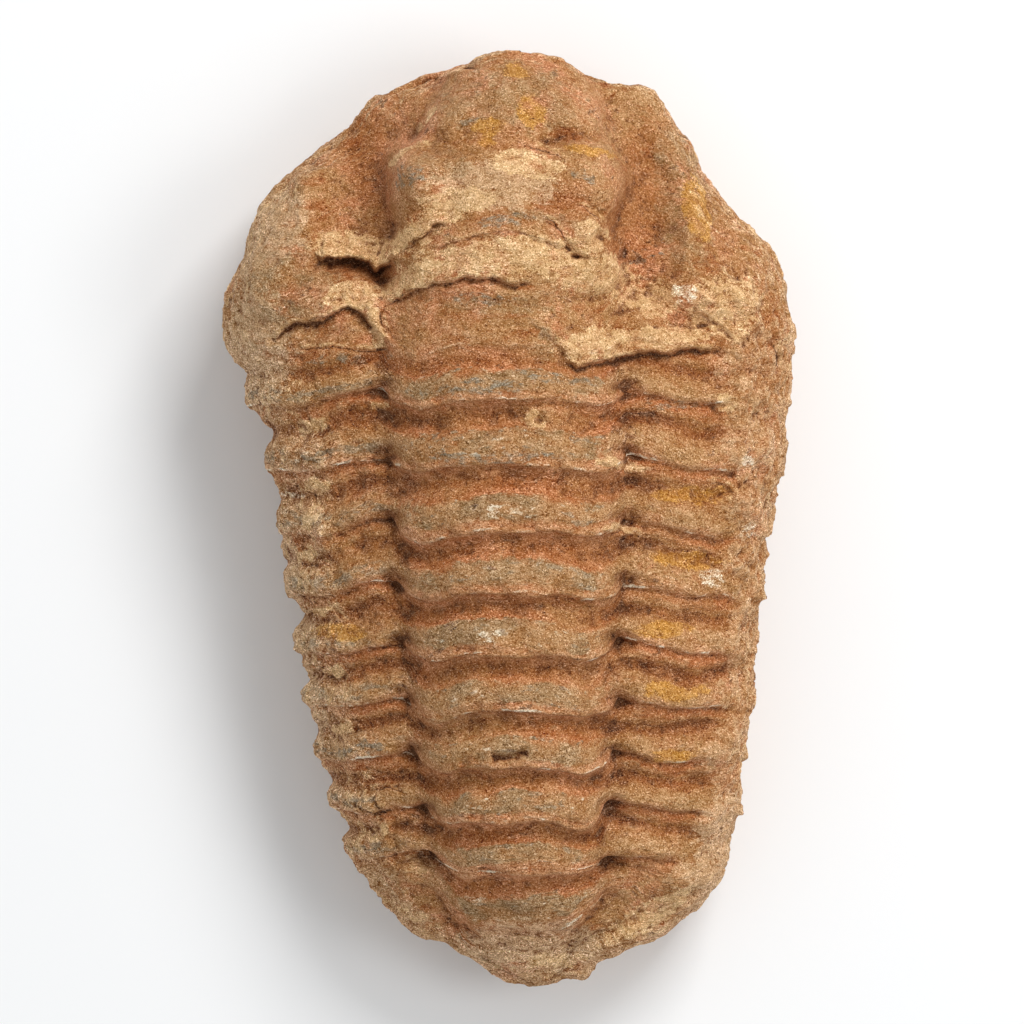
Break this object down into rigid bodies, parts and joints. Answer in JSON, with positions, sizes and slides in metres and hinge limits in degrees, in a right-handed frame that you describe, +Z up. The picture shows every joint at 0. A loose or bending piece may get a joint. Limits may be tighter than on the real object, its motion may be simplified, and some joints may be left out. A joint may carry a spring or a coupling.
{
  "type": "calymene trilobite fossil",
  "caption": "Weathered stone fossil of a ribbed trilobite lying on a broad flat underside, with raised head lobes, body rings and tail.",
  "frame": {"origin": "centre of the bounding box on X and Y, on the flat underside that the stone rests on", "axes": "+Y towards the head, +Z up out of the animal's back, +X to the right when the stone is seen from above with its head away from the viewer"},
  "size_m": [0.0614, 0.1, 0.0336],
  "materials": {
    "fossil_stone": "matte"
  },
  "bodies": {
    "root": {"trilobite_fossil": "fossil_stone"}
  },
  "joints": []
}
